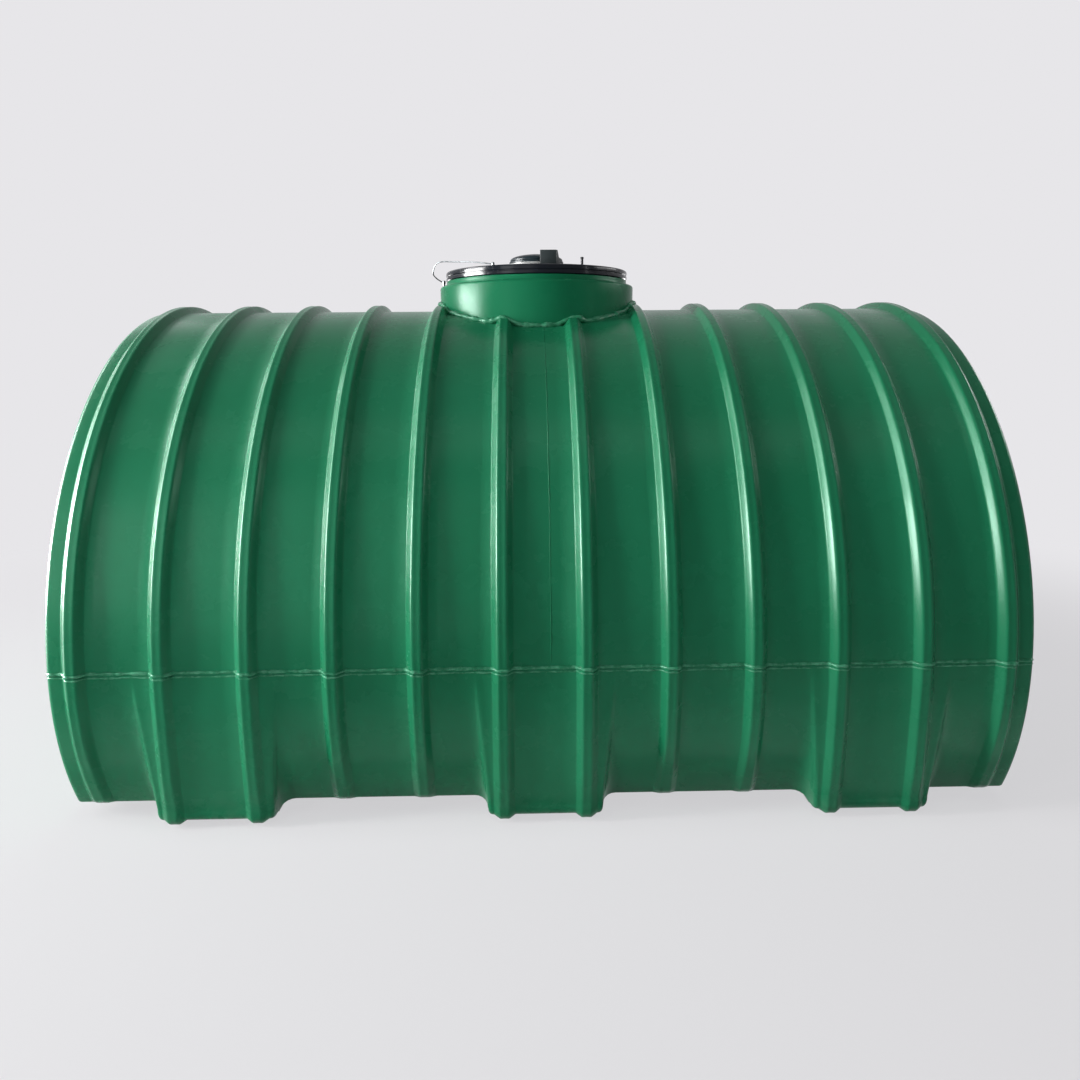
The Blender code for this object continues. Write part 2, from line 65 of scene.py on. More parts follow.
def addObject(name, data):
    item = bpy.data.objects.new(name, data)
    scene.collection.objects.link(item)
    return item


def setInputs(node, values):
    for title, value in values.items():
        node.inputs[title].default_value = value


def nodeCentre(name):
    low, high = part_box(name)
    return (low + high) / 2


def smoothStep(values, start, end):
    share = np.clip((values - start) / (end - start), 0.0, 1.0)
    return share * share * (3 - 2 * share)


def smoothLeast(first, second, reach):
    # the smaller of two values, rounded off where they come within a reach of each other
    share = np.clip(0.5 + 0.5 * (second - first) / reach, 0.0, 1.0)
    return second * (1 - share) + first * share - reach * share * (1 - share)


# Camera, floor and light
view = {
    "place": (-0.0400, -2.4375, 0.9518),
    "tiltDown": 0.0199,
    "turn": -0.0194,
    "roll": -0.0081,
    "lens": 29.460,
    "shiftUp": -0.1466,
}
studio = {
    "paper": (0.799, 0.791, 0.814),
    "floorSize": 60.0,
    "shadowFadeStart": 1.6,
    "shadowFadeEnd": 3.4,
    "shadowShare": 0.26,
    "worldLight": 0.035,
}
# name, place, aim, size and power
lamps = (
    ("key_left", (-5.0, -1.65, 1.15), (0.0, 0.0, 0.5), (0.60, 3.4), 430.0),
    ("high_left", (-3.5, -1.0, 3.0), (0.0, 0.0, 0.6), (0.4, 1.2), 40.0),
    ("front_left", (-2.2, -3.0, 1.2), (-0.2, 0.0, 0.4), (1.0, 2.0), 24.0),
    ("top_front", (-0.2, -2.0, 3.6), (0.0, 0.0, 0.6), (4.0, 1.0), 20.0),
    ("fill_right", (4.0, -2.1, 1.2), (0.0, 0.0, 0.5), (0.14, 2.4), 11.0),
    ("step_right", (0.9, -1.1, 0.03), (0.9, -1.1, 1.0), (1.4, 0.3), 0.7),
    ("back", (0.0, 3.8, 0.35), (0.0, 0.0, 0.6), (6.0, 0.5), 90.0),
)
# these show in the gloss alone
sheens = (
    ("sheen_low", (-4.8, -0.15, 0.62), (0.0, -0.15, 0.62), (2.3, 1.15), 2600.0),
    ("sheen_wall", (-4.6, -0.4, 1.55), (0.0, -0.4, 1.0), (2.2, 0.8), 800.0),
    ("sheen_upper", (-4.5, -0.4, 2.85), (0.0, -0.2, 0.9), (1.9, 1.5), 340.0),
    ("sheen_crest", (-3.8, 0.8, 3.8), (0.2, -0.3, 1.0), (1.6, 1.2), 115.0),
    ("sheen_high", (-3.4, 2.2, 3.0), (0.0, -0.2, 0.9), (3.0, 2.0), 22.0),
    ("sheen_floor", (-3.2, -0.85, 0.02), (-3.2, -0.85, 1.0), (2.6, 1.3), 80.0),
    ("sheen_front", (-2.0, -4.4, 1.6), (-0.4, 0.0, 0.6), (3.4, 5.0), 91.0),
    ("sheen_apron", (-1.6, -3.0, 0.02), (-1.6, -3.0, 1.0), (2.8, 2.0), 30.0),
    ("sheen_step", (0.0, -0.78, 0.015), (0.0, -0.78, 1.0), (2.4, 0.24), 1.8),
    ("sheen_right", (4.2, 0.5, 2.3), (0.0, 0.0, 0.9), (3.0, 0.8), 95.0),
)
# these show in the colour alone
washes = (
    ("wash_top", (0.3, 3.6, 2.9), (0.0, 0.0, 1.2), (5.0, 0.6), 30.0),
    ("wash_collar", (1.1, -0.9, 1.6), (0.15, -0.2, 1.15), (0.6, 0.3), 2.2),
)
lampTints = {"key_left": (1.0, 1.0, 0.98), "fill_right": (0.98, 1.0, 1.0)}


def makeCamera():
    data = bpy.data.cameras.new("camera")
    data.lens = view["lens"]
    data.sensor_width = 36.0
    data.shift_y = view["shiftUp"]
    camera = addObject("camera", data)
    turned = Euler((math.pi / 2 - view["tiltDown"], 0.0, view["turn"])).to_matrix()
    rolled = Euler((0.0, 0.0, view["roll"])).to_matrix()
    camera.matrix_world = (turned @ rolled).to_4x4()
    camera.location = view["place"]
    scene.camera = camera


def linkChain(tree, *sockets):
    # links sockets in pairs: out, in, out, in
    for source, target in zip(sockets[::2], sockets[1::2]):
        tree.links.new(source, target)


def addRange(tree, value, fromLow, fromHigh, toLow, toHigh, smooth=True):
    ranged = tree.nodes.new("ShaderNodeMapRange")
    ranged.interpolation_type = "SMOOTHSTEP" if smooth else "LINEAR"
    setInputs(ranged, {"From Min": fromLow, "From Max": fromHigh})
    setInputs(ranged, {"To Min": toLow, "To Max": toHigh})
    tree.links.new(value, ranged.inputs["Value"])
    return ranged.outputs["Result"]


def addMath(tree, operation, first, second=None):
    maths = tree.nodes.new("ShaderNodeMath")
    maths.operation = operation
    for socket, value in zip(maths.inputs, (first, second)):
        if isinstance(value, (int, float)):
            socket.default_value = value
        elif value is not None:
            tree.links.new(value, socket)
    return maths.outputs[0]


def seenDirectly(tree):
    # 1 for rays from the camera, a reflection or through glass, and 0 for the light itself
    path = tree.nodes.new("ShaderNodeLightPath").outputs
    direct = addMath(tree, "MAXIMUM", path["Is Camera Ray"], path["Is Transmission Ray"])
    return addMath(tree, "MAXIMUM", direct, path["Is Glossy Ray"])


def makeWorld():
    world = bpy.data.worlds.new("studio")
    world.use_nodes = True
    scene.world = world
    tree = world.node_tree
    tree.nodes.clear()
    light = tree.nodes.new("ShaderNodeBackground")
    setInputs(light, {"Color": (1.0, 1.0, 1.0, 1.0), "Strength": studio["worldLight"]})
    paper = tree.nodes.new("ShaderNodeBackground")
    paper.inputs["Color"].default_value = (*studio["paper"], 1.0)
    mix = tree.nodes.new("ShaderNodeMixShader")
    out = tree.nodes.new("ShaderNodeOutputWorld")
    linkChain(
        tree,
        seenDirectly(tree), mix.inputs["Fac"],
        light.outputs[0], mix.inputs[1],
        paper.outputs[0], mix.inputs[2],
        mix.outputs[0], out.inputs["Surface"],
    )


def makeFloor():
    half = studio["floorSize"] / 2
    mesh = bpy.data.meshes.new("floor")
    corners = [(-half, -half, 0), (half, -half, 0), (half, half, 0), (-half, half, 0)]
    mesh.from_pydata(corners, [], [(0, 1, 2, 3)])
    floor = addObject("floor", mesh)
    material = bpy.data.materials.new("floor_paper")
    material.use_nodes = True
    tree = material.node_tree
    tree.nodes.clear()
    paper = tree.nodes.new("ShaderNodeEmission")
    paper.inputs["Color"].default_value = (*studio["paper"], 1.0)
    matt = tree.nodes.new("ShaderNodeBsdfDiffuse")
    matt.inputs["Color"].default_value = (*studio["paper"], 1.0)
    place = tree.nodes.new("ShaderNodeTexCoord")
    length = tree.nodes.new("ShaderNodeVectorMath")
    length.operation = "LENGTH"
    tree.links.new(place.outputs["Object"], length.inputs[0])
    start, end, low = (studio[key] for key in ("shadowFadeStart", "shadowFadeEnd", "shadowShare"))
    fade = addRange(tree, length.outputs["Value"], start, end, 1 - low, 1.0)
    share = addMath(tree, "MULTIPLY", fade, seenDirectly(tree))
    mix = tree.nodes.new("ShaderNodeMixShader")
    out = tree.nodes.new("ShaderNodeOutputMaterial")
    linkChain(
        tree,
        share, mix.inputs["Fac"],
        matt.outputs[0], mix.inputs[1],
        paper.outputs[0], mix.inputs[2],
        mix.outputs[0], out.inputs["Surface"],
    )
    mesh.materials.append(material)


def makeLamps():
    for name, place, aim, size, power in lamps + sheens + washes:
        data = bpy.data.lights.new(name, "AREA")
        data.shape = "RECTANGLE"
        data.size, data.size_y = size
        data.energy = power
        data.color = lampTints.get(name, (1.0, 1.0, 1.0))
        lamp = addObject(name, data)
        lamp.location = place
        lamp.rotation_euler = (Vector(aim) - Vector(place)).to_track_quat("-Z", "Y").to_euler()
        lamp.visible_camera = False
        lamp.visible_diffuse = not name.startswith("sheen_")
        lamp.visible_glossy = not name.startswith("wash_")


scene.view_settings.view_transform = "Standard"
makeCamera()
makeWorld()
makeFloor()
makeLamps()
print("camera, floor and light are set")


# Finishes
greens = {
    "light": (0.010, 0.150, 0.069, 1.0),
    "deep": (0.006, 0.132, 0.057, 1.0),
    "scraped": (0.060, 0.250, 0.145, 1.0),
    "dust": (0.090, 0.200, 0.130, 1.0),
    "roughness": 0.27,
    "specular": 0.12,
    "glossTint": (0.70, 1.0, 0.86, 1.0),
    "mottleSize": 2.2,
    "peelSize": 190.0,
    "peelDepth": 0.00012,
    "scuffSize": 9.0,
    "scuffRough": 0.10,
    "dustTop": 0.10,
    "dustShare": 0.30,
    "dustSize": 14.0,
    "dustRough": 0.35,
    "scrapeSize": 70.0,
    "scrapeDepth": 0.0010,
}
# material name, darker and paler colour, roughness
plastics = {
    "lid": ("black_plastic", (0.003, 0.005, 0.009, 1.0), (0.007, 0.010, 0.015, 1.0), 0.15),
    "vent": ("vent_teal", (0.004, 0.010, 0.014, 1.0), (0.008, 0.024, 0.030, 1.0), 0.30),
    "ventBase": ("vent_pale", (0.30, 0.31, 0.31, 1.0), (0.45, 0.46, 0.46, 1.0), 0.42),
    "tab": ("tab_grey", (0.022, 0.030, 0.032, 1.0), (0.040, 0.050, 0.052, 1.0), 0.38),
}
plasticGrain = {
    "specular": 0.12,
    "patchSize": 9.0,
    "scuffSize": 60.0,
    "scuffRough": 0.18,
    "grainSize": 420.0,
    "grainDepth": 0.00006,
}
steels = {
    "deep": (0.035, 0.040, 0.043, 1.0),
    "bright": (0.110, 0.118, 0.122, 1.0),
    "roughness": 0.35,
    "roughLow": 0.28,
    "roughHigh": 0.5,
    "patchSize": 120.0,
    "grainSize": 900.0,
    "grainDepth": 0.00005,
}


def startMaterial(name, roughness, metallic=0.0, specular=0.5):
    material = bpy.data.materials.new(name)
    material.use_nodes = True
    tree = material.node_tree
    shader = tree.nodes["Principled BSDF"]
    setInputs(shader, {"Roughness": roughness, "Metallic": metallic})
    setInputs(shader, {"Specular IOR Level": specular})
    place = tree.nodes.new("ShaderNodeTexCoord")
    return material, tree, shader, place.outputs["Object"]


def addNoise(tree, place, size, detail=3.0, roughness=0.5, distortion=0.0):
    texture = tree.nodes.new("ShaderNodeTexNoise")
    setInputs(texture, {"Scale": size, "Detail": detail})
    setInputs(texture, {"Roughness": roughness, "Distortion": distortion})
    tree.links.new(place, texture.inputs["Vector"])
    return texture.outputs["Fac"]


def addMix(tree, share, first, second):
    mix = tree.nodes.new("ShaderNodeMix")
    mix.data_type = "RGBA"
    tree.links.new(share, mix.inputs["Factor"])
    for socket, value in ((mix.inputs["A"], first), (mix.inputs["B"], second)):
        if isinstance(value, tuple):
            socket.default_value = value
        else:
            tree.links.new(value, socket)
    return mix.outputs["Result"]


def addBump(tree, shader, height, depth, strength=1.0):
    bump = tree.nodes.new("ShaderNodeBump")
    setInputs(bump, {"Distance": depth, "Strength": strength})
    tree.links.new(height, bump.inputs["Height"])
    if shader.inputs["Normal"].is_linked:
        tree.links.new(shader.inputs["Normal"].links[0].from_socket, bump.inputs["Normal"])
    tree.links.new(bump.outputs["Normal"], shader.inputs["Normal"])


def mouldedGreen(name, rough=1.0, gloss=1.0):
    # rotomoulded polyethylene: soft mottling, a fine peel, faint scuffs and dust low down
    specular = greens["specular"] * gloss
    material, tree, shader, place = startMaterial(name, greens["roughness"], specular=specular)
    shader.inputs["Specular Tint"].default_value = greens["glossTint"]
    mottled = addNoise(tree, place, greens["mottleSize"], 4.0, 0.55, 0.4)
    mottle = addRange(tree, mottled, 0.3, 0.7, 0.0, 1.0)
    colour = addMix(tree, mottle, greens["deep"], greens["light"])
    split = tree.nodes.new("ShaderNodeSeparateXYZ")
    tree.links.new(place, split.inputs[0])
    low = addRange(tree, split.outputs["Z"], 0.0, greens["dustTop"], greens["dustShare"], 0.0)
    patches = addNoise(tree, place, greens["dustSize"], 5.0, 0.65)
    dust = addMath(tree, "MULTIPLY", low, addRange(tree, patches, 0.42, 0.70, 0.0, 1.0))
    colour = addMix(tree, dust, colour, greens["dust"])
    scuffs = addNoise(tree, place, greens["scuffSize"], 5.0, 0.6)
    scuff = addRange(tree, scuffs, 0.50, 0.75, 0.0, greens["scuffRough"])
    sheen = addMath(tree, "ADD", scuff, greens["roughness"])
    sheen = addMath(tree, "ADD", sheen, addMath(tree, "MULTIPLY", dust, greens["dustRough"]))
    tree.links.new(sheen, shader.inputs["Roughness"])
    peel = addNoise(tree, place, greens["peelSize"], 2.0)
    addBump(tree, shader, peel, greens["peelDepth"] * rough)
    if rough > 1.0:
        blobs = addNoise(tree, place, greens["scrapeSize"], 4.0, 0.6)
        scraped = addRange(tree, blobs, 0.38, 0.62, 0.15, 0.95)
        colour = addMix(tree, scraped, colour, greens["scraped"])
        addBump(tree, shader, blobs, greens["scrapeDepth"])
    tree.links.new(colour, shader.inputs["Base Color"])
    return material


def hardPlastic(name, deep, pale, roughness):
    specular = plasticGrain["specular"]
    material, tree, shader, place = startMaterial(name, roughness, specular=specular)
    patches = addNoise(tree, place, plasticGrain["patchSize"], 5.0, 0.6)
    patch = addRange(tree, patches, 0.35, 0.7, 0.0, 1.0)
    tree.links.new(addMix(tree, patch, deep, pale), shader.inputs["Base Color"])
    scuffs = addNoise(tree, place, plasticGrain["scuffSize"], 4.0, 0.7, 1.5)
    rougher = roughness + plasticGrain["scuffRough"]
    scuff = addRange(tree, scuffs, 0.5, 0.75, roughness, rougher)
    tree.links.new(scuff, shader.inputs["Roughness"])
    grain = addNoise(tree, place, plasticGrain["grainSize"], 2.0)
    addBump(tree, shader, grain, plasticGrain["grainDepth"])
    return material


def brushedSteel(name):
    material, tree, shader, place = startMaterial(name, steels["roughness"], metallic=1.0)
    patch = addNoise(tree, place, steels["patchSize"], 4.0, 0.6)
    colour = addMix(tree, patch, steels["deep"], steels["bright"])
    tree.links.new(colour, shader.inputs["Base Color"])
    scuff = addRange(tree, patch, 0.3, 0.7, steels["roughLow"], steels["roughHigh"])
    tree.links.new(scuff, shader.inputs["Roughness"])
    addBump(tree, shader, addNoise(tree, place, steels["grainSize"], 2.0), steels["grainDepth"])
    return material


finishes = {
    "moulding": mouldedGreen("moulded_green"),
    "neck": mouldedGreen("neck_green", gloss=0.33),
    "weld": mouldedGreen("welded_green", rough=2.0),
    "lid": hardPlastic(*plastics["lid"]),
    "vent": hardPlastic(*plastics["vent"]),
    "ventBase": hardPlastic(*plastics["ventBase"]),
    "tab": hardPlastic(*plastics["tab"]),
    "steel": brushedSteel("steel"),
}
print("finishes are made")


# Mesh helpers
def addPiece(name, mesh, nodes, finish=None):
    if finish is not None:
        mesh.materials.append(finishes[finish])
    piece = addObject(name, mesh)
    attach(piece, "root")
    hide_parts(*nodes)
    return piece


def onCircle(radius, angle, centre=(0.0, 0.0)):
    return centre[0] + radius * math.cos(angle), centre[1] + radius * math.sin(angle)


def fullTurn(steps):
    return [2 * math.pi * step / steps for step in range(steps)]


def keepInside(bm):
    # no point lies past the CAD's ends or under the floor
    for vert in bm.verts:
        vert.co.x = min(max(vert.co.x, cadLow.x), cadHigh.x)
        vert.co.z = max(vert.co.z, 0.0)


def meshFrom(bm, name):
    mesh = bpy.data.meshes.new(name)
    bm.to_mesh(mesh)
    bm.free()
    mesh.shade_smooth()
    return mesh


def ringMesh(name, rings, wrap=False):
    # a skin through rings of points; it closes on itself, or its end rings are poles
    bm = bmesh.new()
    loops = [[bm.verts.new(point) for point in ring] for ring in rings]
    pairs = list(zip(loops, loops[1:]))
    if wrap:
        pairs.append((loops[-1], loops[0]))
    for lower, upper in pairs:
        count = len(lower)
        for index in range(count):
            after = (index + 1) % count
            bm.faces.new((lower[index], lower[after], upper[after], upper[index]))
    bmesh.ops.remove_doubles(bm, verts=bm.verts, dist=0.000001)
    bmesh.ops.dissolve_degenerate(bm, dist=0.0000005, edges=bm.edges)
    bmesh.ops.recalc_face_normals(bm, faces=bm.faces)
    return meshFrom(bm, name)


def turnedMesh(name, profile, place=(0.0, 0.0), steps=128, wrap=False, sharp=30.0):
    # a profile of (radius, height) points turned about an upright line
    angles = fullTurn(steps)
    rings = [[(*onCircle(radius, a, place), height) for a in angles] for radius, height in profile]
    mesh = ringMesh(name, rings, wrap)
    mesh.set_sharp_from_angle(angle=math.radians(sharp))
    return mesh


def arcPoints(centre, radius, start, end, steps):
    # points of (radius, height) on an arc; angles in degrees from the outward direction
    points = []
    for step in range(steps + 1):
        angle = math.radians(start + (end - start) * step / steps)
        points.append(onCircle(radius, angle, centre))
    return points


socketKinds = {float: "Float", int: "Int", bpy.types.Material: "Material"}


def newTree(name, values):
    # a geometry tree with named inputs; gives the tree, its input node and its output node
    tree = bpy.data.node_groups.new(name, "GeometryNodeTree")
    tree.interface.new_socket("Geometry", in_out="INPUT", socket_type="NodeSocketGeometry")
    for title, value in values.items():
        kind = "NodeSocket" + socketKinds[type(value)]
        socket = tree.interface.new_socket(title, in_out="INPUT", socket_type=kind)
        socket.default_value = value
    tree.interface.new_socket("Geometry", in_out="OUTPUT", socket_type="NodeSocketGeometry")
    return tree, tree.nodes.new("NodeGroupInput"), tree.nodes.new("NodeGroupOutput")


def addScale(tree, vector, amount):
    scale = tree.nodes.new("ShaderNodeVectorMath")
    scale.operation = "SCALE"
    linkChain(tree, vector, scale.inputs[0], amount, scale.inputs["Scale"])
    return scale.outputs[0]


def addSeededNoise(tree, start, size, detail):
    # noise over the positions, with the seed as its fourth coordinate
    place = tree.nodes.new("GeometryNodeInputPosition")
    noise = tree.nodes.new("ShaderNodeTexNoise")
    noise.noise_dimensions = "4D"
    noise.inputs["Detail"].default_value = detail
    linkChain(
        tree,
        place.outputs[0], noise.inputs["Vector"],
        start.outputs[size], noise.inputs["Scale"],
        start.outputs["Seed"], noise.inputs["W"],
    )
    return noise


def closeTree(tree, start, end, geometry):
    # every geometry tree ends in smooth shading, real geometry and its finish
    smooth = tree.nodes.new("GeometryNodeSetShadeSmooth")
    real = tree.nodes.new("GeometryNodeRealizeInstances")
    finish = tree.nodes.new("GeometryNodeSetMaterial")
    linkChain(
        tree,
        geometry, smooth.inputs["Geometry"],
        smooth.outputs[0], real.inputs[0],
        real.outputs[0], finish.inputs["Geometry"],
        start.outputs["Finish"], finish.inputs["Material"],
        finish.outputs[0], end.inputs["Geometry"],
    )


def runTree(item, tree, values, name):
    # runs a geometry tree on an object and gives the result as a plain mesh
    modifier = item.modifiers.new(tree.name, "NODES")
    modifier.node_group = tree
    for socket in tree.interface.items_tree:
        if socket.in_out == "INPUT" and socket.name in values:
            modifier[socket.identifier] = values[socket.name]
    graph = bpy.context.evaluated_depsgraph_get()
    mesh = bpy.data.meshes.new_from_object(item.evaluated_get(graph), depsgraph=graph)
    mesh.name = name
    item.modifiers.clear()
    bpy.data.objects.remove(item, do_unlink=True)
    return mesh


# The moulding: barrel, belly, feet and end walls in one skin
moulding = {
    "shellRadius": 0.6825,
    "bellyCornerBlend": 0.007,
    "ribRise": 0.0170,
    "ribHalf": 0.0235,
    "ribFlare": 0.08,
    "waviness": 0.0005,
    "waveSize": 3.0,
    "waveLevel": 0.85,
    "seed": 7.0,
    # share of the rib's half width, share of its rise
    "ribShape": (
        (0.0, 0.965), (0.18, 0.985), (0.32, 1.0), (0.42, 0.955), (0.52, 0.82), (0.62, 0.645),
        (0.72, 0.46), (0.82, 0.27), (0.91, 0.09), (1.0, 0.0),
    ),
}
endWall = {
    "skirt": 0.0193,
    "cornerRadius": 0.012,
    "cornerSteps": 7,
    "crownSteps": 12,
    "flashRoom": 0.0045,
}
foot = {
    "topDrop": 0.0805,
    "topFade": 0.050,
    "proud": 0.004,
    "bow": 0.004,
    "soleHalf": 0.622,
    "runnerRise": 0.0125,
    "soleHalfWidth": 0.119,
    "toeRadius": 0.022,
    "toeDip": 0.38,
    "filletRadius": 0.030,
    "edgeRadius": 0.010,
    "arcSteps": 5,
    "filletStart": 0.0008,
    "flatSteps": 30,
    "toeSteps": 16,
}
# angles from straight down, in degrees, between which the ribs change
ribBends = {
    "dipStart": (52.5, 57.5),
    "dipEnd": (58.5, 66.0),
    "footRise": (54.8, 57.8),
    "fullRise": (57.0, 72.0),
    "flare": (53.0, 74.0),
    "footShare": 0.60,
}
# first angle, last angle and steps between them
turnStretches = (
    (0.0, 50.0, 7),
    (50.0, 54.5, 4),
    (54.5, 59.5, 24),
    (59.5, 66.0, 9),
    (66.0, 86.0, 16),
    (86.0, 180.0, 40),
)
shellRadius = moulding["shellRadius"]
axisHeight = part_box("shell_top")[1].z - shellRadius
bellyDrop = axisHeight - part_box("shell_belly")[0].z
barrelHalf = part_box("shell_belly")[1].x
ribNodes = [f"rib_{n:02d}_front" if 5 <= n <= 8 else f"rib_{n:02d}" for n in range(1, 13)]
ribPlaces = [nodeCentre(node).x for node in ribNodes]
ribPitch = (ribPlaces[-1] - ribPlaces[0]) / (len(ribPlaces) - 1)
footRibs = (1, 5, 9)  # the first rib over each foot, counted from 0
ribStations = (1.0, 0.95, 0.90, 0.82, 0.72, 0.62, 0.54, 0.47, 0.40, 0.32, 0.17)


def sectionTurns():
    # angles from straight down to straight up, closer together where the section bends
    turns = [0.0]
    for start, end, steps in turnStretches:
        turns.extend(start + (end - start) * step / steps for step in range(1, steps + 1))
    return np.radians(turns)


turns = sectionTurns()


def barrelSection():
    flat = bellyDrop / np.maximum(np.cos(turns), 0.2)
    return smoothLeast(flat, np.full_like(turns, shellRadius), moulding["bellyCornerBlend"])


def footSection(grow):
    # the radius of the foot's outline at each turn, grown by a rib's rise
    topHalf = math.sqrt(shellRadius ** 2 - foot["topDrop"] ** 2) + foot["proud"] + grow
    soleHalf = foot["soleHalf"] + grow
    soleDrop = axisHeight - foot["runnerRise"] + grow
    radius = foot["toeRadius"] + grow
    slope = math.atan2(topHalf - soleHalf, soleDrop - foot["topDrop"])
    setback = radius * math.tan((math.pi / 2 - slope) / 2)
    centre = (soleHalf - setback, soleDrop - radius)
    points = [(y, soleDrop) for y in np.linspace(0.0, centre[0], foot["flatSteps"])]
    for step in range(1, foot["toeSteps"] + 1):
        angle = math.pi / 2 - (math.pi / 2 + slope) * step / foot["toeSteps"]
        points.append(onCircle(radius, angle, centre))
    toeTop = points[-1]
    for share in np.linspace(0.0, 1.0, foot["flatSteps"])[1:]:
        bow = 4 * foot["bow"] * share * (1 - share)
        y = toeTop[0] + (topHalf - toeTop[0]) * share + bow
        points.append((y, toeTop[1] + (foot["topDrop"] - toeTop[1]) * share))
    points = np.array(points)
    angles = np.arctan2(points[:, 0], points[:, 1])
    return np.interp(turns, angles, np.hypot(points[:, 0], points[:, 1]))


def bendShare(name):
    return smoothStep(np.degrees(turns), *ribBends[name])


barrelRadius = barrelSection()
sectionHeight = axisHeight - barrelRadius * np.cos(turns)
footTopHeight = axisHeight - foot["topDrop"]
footFade = smoothStep(footTopHeight - sectionHeight, 0.0, foot["topFade"])
footHeight = np.maximum(footSection(0.0) - barrelRadius, 0.0) * footFade
toeDip = 1 - foot["toeDip"] * bendShare("dipStart") * (1 - bendShare("dipEnd"))
footRibHeight = (footSection(foot["runnerRise"]) - footSection(0.0)) * toeDip
fullShare = ribBends["footShare"] + (1 - ribBends["footShare"]) * bendShare("fullRise")
freeRibHeight = moulding["ribRise"] * bendShare("footRise") * fullShare
freeRibSpread = 1 + moulding["ribFlare"] * (1 - bendShare("flare"))
standingRibHeight = moulding["ribRise"] * (1 - footFade) + footRibHeight * footFade


def footHalfWidth(height):
    soleHeight = foot["runnerRise"]
    share = np.clip((height - soleHeight) / (footTopHeight - soleHeight), 0.0, 1.0)
    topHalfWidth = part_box("saddle_foot_centre")[1].x
    return foot["soleHalfWidth"] + (topHalfWidth - foot["soleHalfWidth"]) * share


def wallStations(centreX, side):
    # the foot's side wall, from the barrel up to its face: a fillet, the wall and a rounded edge
    lowWidth = footHalfWidth(sectionHeight)
    highWidth = footHalfWidth(axisHeight - (barrelRadius + footHeight) * np.cos(turns))
    share = np.minimum(footHeight / (foot["filletRadius"] + foot["edgeRadius"]), 1.0)
    fillet = foot["filletRadius"] * share
    edge = foot["edgeRadius"] * share
    stations = []
    for step in range(foot["arcSteps"] + 1):
        angle = math.pi / 2 * step / foot["arcSteps"]
        away = foot["filletRadius"] * (1 - math.sin(angle)) + foot["filletStart"]
        radius = barrelRadius + fillet * (1 - math.cos(angle))
        stations.append((centreX + side * (lowWidth + away), radius))
    for step in range(foot["arcSteps"] + 1):
        angle = math.pi / 2 * step / foot["arcSteps"]
        inside = foot["edgeRadius"] * (1 - math.cos(angle))
        radius = barrelRadius + footHeight - edge * (1 - math.sin(angle))
        stations.append((centreX + side * (highWidth - inside), radius))
    return stations if side < 0 else stations[::-1]


def skinStations():
    # every ring along the barrel, as (x, radius, rib height, rib spread) at each turn
    even = np.ones_like(turns)
    none = np.zeros_like(turns)
    stations = [(-barrelHalf * even, barrelRadius, none, even)]
    footCentre = 0.0
    for index, place in enumerate(ribPlaces):
        standing = index in footRibs or index - 1 in footRibs
        height = standingRibHeight if standing else freeRibHeight
        spread = even if standing else freeRibSpread
        radius = barrelRadius + footHeight if standing else barrelRadius
        if index in footRibs:
            footCentre = place + ribPitch / 2
            stations.extend((x, r, none, even) for x, r in wallStations(footCentre, -1))
        offsets = [-u for u in ribStations] + [0.0] + list(ribStations[::-1])
        for offset in offsets:
            x = place + offset * moulding["ribHalf"] * spread
            stations.append((x, radius, height, spread))
        if index - 1 in footRibs:
            stations.extend((x, r, none, even) for x, r in wallStations(footCentre, 1))
    stations.append((barrelHalf * even, barrelRadius, none, even))
    return stations


def fillBays(stations, widest=0.034):
    # adds rings where two neighbours are far apart, so that the skin can waver there
    filled = [stations[0]]
    for station in stations[1:]:
        before = filled[-1]
        gap = float(np.max(station[0] - before[0]))
        parts = max(1, math.ceil(gap / widest))
        for part in range(1, parts):
            share = part / parts
            filled.append(tuple(a + (b - a) * share for a, b in zip(before, station)))
        filled.append(station)
    return filled


def endStations(side):
    # the rings of an end wall from its corner to near its middle, as (x, radius, scale)
    even = np.ones_like(turns)
    rimX = barrelHalf + endWall["skirt"]
    stations = []
    for step in range(endWall["cornerSteps"] + 1):
        angle = math.pi / 2 * step / endWall["cornerSteps"]
        x = rimX + endWall["cornerRadius"] * math.sin(angle)
        inward = endWall["cornerRadius"] * (1 - math.cos(angle))
        stations.append((side * x * even, barrelRadius - inward, 1.0))
    faceX = rimX + endWall["cornerRadius"]
    crown = cadHigh.x - faceX - endWall["flashRoom"]
    for step in range(1, endWall["crownSteps"] + 1):
        scale = 1 - step / endWall["crownSteps"]
        x = faceX + crown * (1 - scale ** 2)
        stations.append((side * x * even, barrelRadius - endWall["cornerRadius"], scale))
    return stations


def ringPoints(x, radius):
    # a station's points, from the belly's middle round the front, the top and the back
    front = np.stack([x, -np.sin(turns) * radius, axisHeight - np.cos(turns) * radius], axis=1)
    back = front[-2:0:-1] * np.array([1.0, -1.0, 1.0])
    return np.concatenate([front, back])


def mirrored(values):
    return np.concatenate([values, values[-2:0:-1]])


